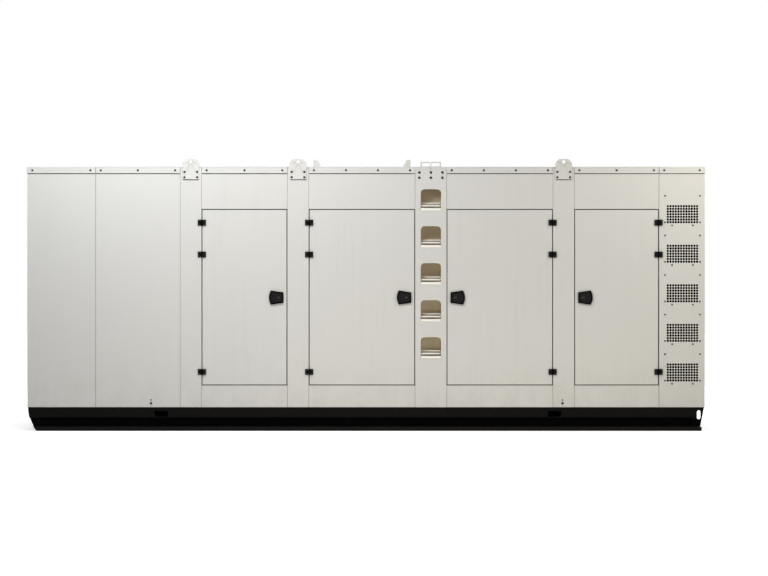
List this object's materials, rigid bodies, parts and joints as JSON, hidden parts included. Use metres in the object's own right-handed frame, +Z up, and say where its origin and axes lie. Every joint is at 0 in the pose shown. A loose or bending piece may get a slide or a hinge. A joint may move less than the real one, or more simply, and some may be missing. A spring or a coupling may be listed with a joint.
{
  "type": "diesel generator",
  "caption": "Long sound-attenuated generator enclosure on a black skid base, with side doors, paddle latches, a step ladder, lifting lugs and a perforated air intake panel.",
  "frame": {"origin": "on the ground, at the middle of the set's length and width", "axes": "+X along the set towards the air intake end, +Y away from the side with the ladder, +Z up"},
  "size_m": [6, 2.14, 2.405],
  "materials": {
    "enclosure_paint": "satin",
    "well_paint": "satin",
    "tread_paint": "satin",
    "base_black": "satin",
    "fitting_black": "matte",
    "paddle_black": "satin",
    "rubber_black": "matte",
    "acoustic_lining": "matte",
    "intake_hood": "matte",
    "galvanised": "satin"
  },
  "bodies": {
    "enclosure": {"front_blank_panels": "enclosure_paint", "front_posts": "enclosure_paint", "ladder_column": "enclosure_paint", "front_lintels": "enclosure_paint", "front_sills": "enclosure_paint", "front_intake_panel": "enclosure_paint", "rear_blank_panels": "enclosure_paint", "rear_posts": "enclosure_paint", "rear_lintels": "enclosure_paint", "rear_sills": "enclosure_paint", "rear_intake_panel": "enclosure_paint", "rear_doors": "enclosure_paint", "left_end_wall": "enclosure_paint", "right_end_wall": "enclosure_paint", "roof_panels": "enclosure_paint", "lifting_lugs": "enclosure_paint", "grab_rail": "enclosure_paint", "roof_brackets": "enclosure_paint", "ladder_well": "well_paint", "step_treads": "tread_paint", "base_rail_front": "base_black", "base_rail_rear": "base_black", "base_cross_beams": "base_black", "lifting_tubes": "base_black", "deck": "base_black", "hinge_frame_leaves": "fitting_black", "rear_fittings": "fitting_black", "door_stops": "rubber_black", "roof_gaskets": "rubber_black", "roof_lining": "acoustic_lining", "front_intake_hoods": "intake_hood", "rear_intake_hoods": "intake_hood", "roof_beams": "galvanised"},
    "door_1": {"door_1": "enclosure_paint", "door_1_fittings": "fitting_black"},
    "door_2": {"door_2": "enclosure_paint", "door_2_fittings": "fitting_black"},
    "door_3": {"door_3": "enclosure_paint", "door_3_fittings": "fitting_black"},
    "door_4": {"door_4": "enclosure_paint", "door_4_fittings": "fitting_black"},
    "paddle_1": {"latch_1_paddle": "paddle_black"},
    "paddle_2": {"latch_2_paddle": "paddle_black"},
    "paddle_3": {"latch_3_paddle": "paddle_black"},
    "paddle_4": {"latch_4_paddle": "paddle_black"}
  },
  "joints": [
    {"name": "door_1_hinge", "type": "hinge", "parent": "enclosure", "child": "door_1", "pos_m": [-1.451, -1.062, 0.41], "axis": [0, 0, -1], "range_deg": [0, 120]},
    {"name": "door_2_hinge", "type": "hinge", "parent": "enclosure", "child": "door_2", "pos_m": [-0.503, -1.062, 0.41], "axis": [0, 0, -1], "range_deg": [0, 120]},
    {"name": "door_3_hinge", "type": "hinge", "parent": "enclosure", "child": "door_3", "pos_m": [1.65, -1.062, 0.41], "axis": [0, 0, 1], "range_deg": [0, 120]},
    {"name": "door_4_hinge", "type": "hinge", "parent": "enclosure", "child": "door_4", "pos_m": [2.587, -1.062, 0.41], "axis": [0, 0, 1], "range_deg": [0, 120]},
    {"name": "latch_1_pull", "type": "hinge", "parent": "door_1", "child": "paddle_1", "pos_m": [-0.747, -1.062, 1.179], "axis": [0, 0, 1], "range_deg": [0, 35], "stiffness_Nm_per_rad": 0.5},
    {"name": "latch_2_pull", "type": "hinge", "parent": "door_2", "child": "paddle_2", "pos_m": [0.383, -1.062, 1.179], "axis": [0, 0, 1], "range_deg": [0, 35], "stiffness_Nm_per_rad": 0.5},
    {"name": "latch_3_pull", "type": "hinge", "parent": "door_3", "child": "paddle_3", "pos_m": [0.764, -1.062, 1.179], "axis": [0, 0, -1], "range_deg": [0, 35], "stiffness_Nm_per_rad": 0.5},
    {"name": "latch_4_pull", "type": "hinge", "parent": "door_4", "child": "paddle_4", "pos_m": [1.893, -1.062, 1.179], "axis": [0, 0, -1], "range_deg": [0, 35], "stiffness_Nm_per_rad": 0.5}
  ]
}
